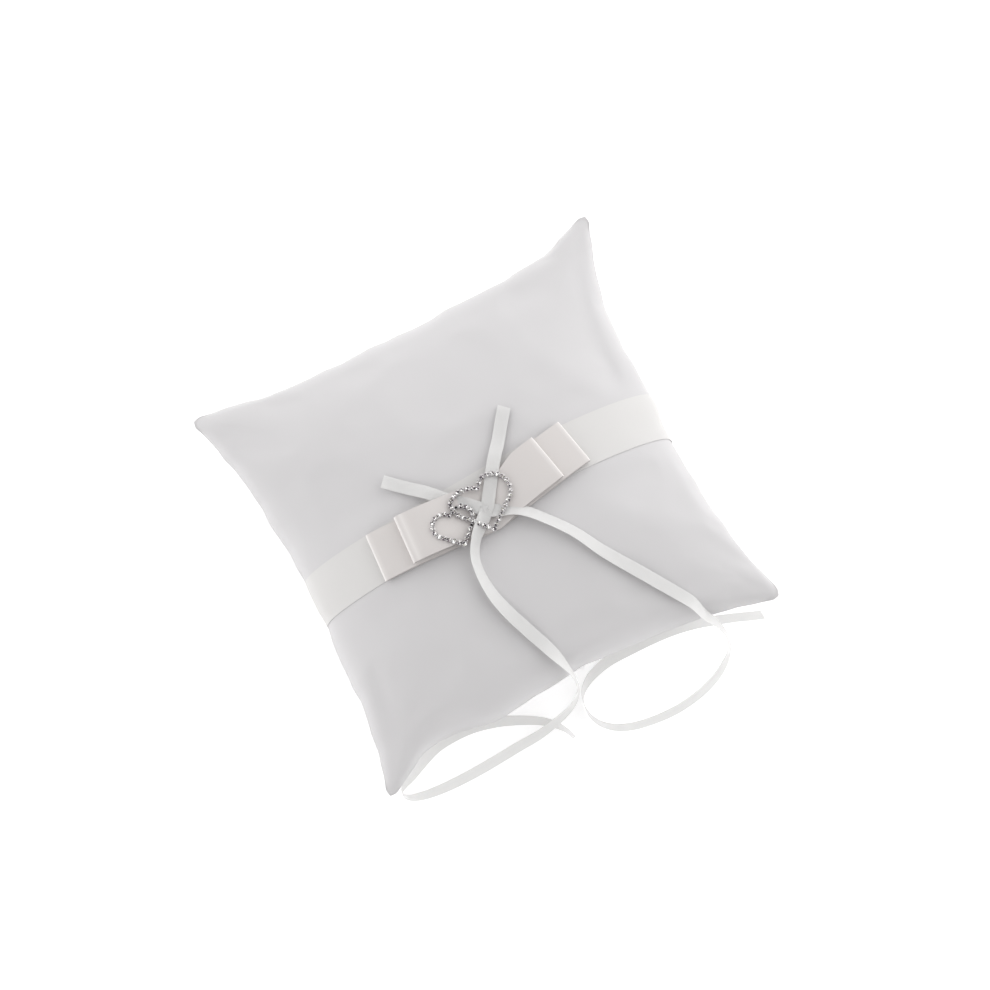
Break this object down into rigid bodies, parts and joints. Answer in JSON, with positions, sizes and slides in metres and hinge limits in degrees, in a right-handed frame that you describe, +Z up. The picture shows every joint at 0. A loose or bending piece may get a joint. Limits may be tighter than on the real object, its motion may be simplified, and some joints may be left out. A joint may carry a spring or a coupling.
{
  "type": "ring bearer pillow",
  "caption": "Square padded satin cushion with a ribbon band, a flat layered bow, long narrow ribbon tails for tying rings, and a jewelled double-heart brooch.",
  "frame": {"origin": "on the table, under the middle of the cushion", "axes": "+X along the ribbon band, -Y towards the long ribbon tails, +Z up out of the cushion's crown"},
  "size_m": [0.2, 0.2231, 0.0684],
  "materials": {
    "cover_satin": "soft matt satin weave, white",
    "fibre": "loose polyester fibre, white",
    "thread": "polyester sewing thread, white",
    "band_satin": "glossy satin ribbon, white",
    "bow_satin": "glossy satin ribbon, pale blush",
    "narrow_satin": "narrow satin ribbon, white",
    "brooch_metal": "bright silver plating",
    "rhinestone": "faceted clear stone with a foil back"
  },
  "bodies": {
    "root": {"front_cover": "cover_satin", "back_cover": "cover_satin", "fibre_filling": "fibre", "seam_thread": "thread", "closing_stitches": "thread", "centre_band": "band_satin", "band_stitches": "thread", "bow_outer_loops": "bow_satin", "bow_inner_loops": "bow_satin", "bow_stitches": "thread", "ring_ribbon_1_short_tail": "narrow_satin", "ring_ribbon_1_long_tail": "narrow_satin", "ring_ribbon_2_short_tail": "narrow_satin", "ring_ribbon_2_long_tail": "narrow_satin", "ribbon_tack_stitches": "thread", "brooch_frame": "brooch_metal", "large_heart_stones": "rhinestone", "small_heart_stones": "rhinestone", "brooch_sewing_loops": "thread"}
  },
  "joints": []
}
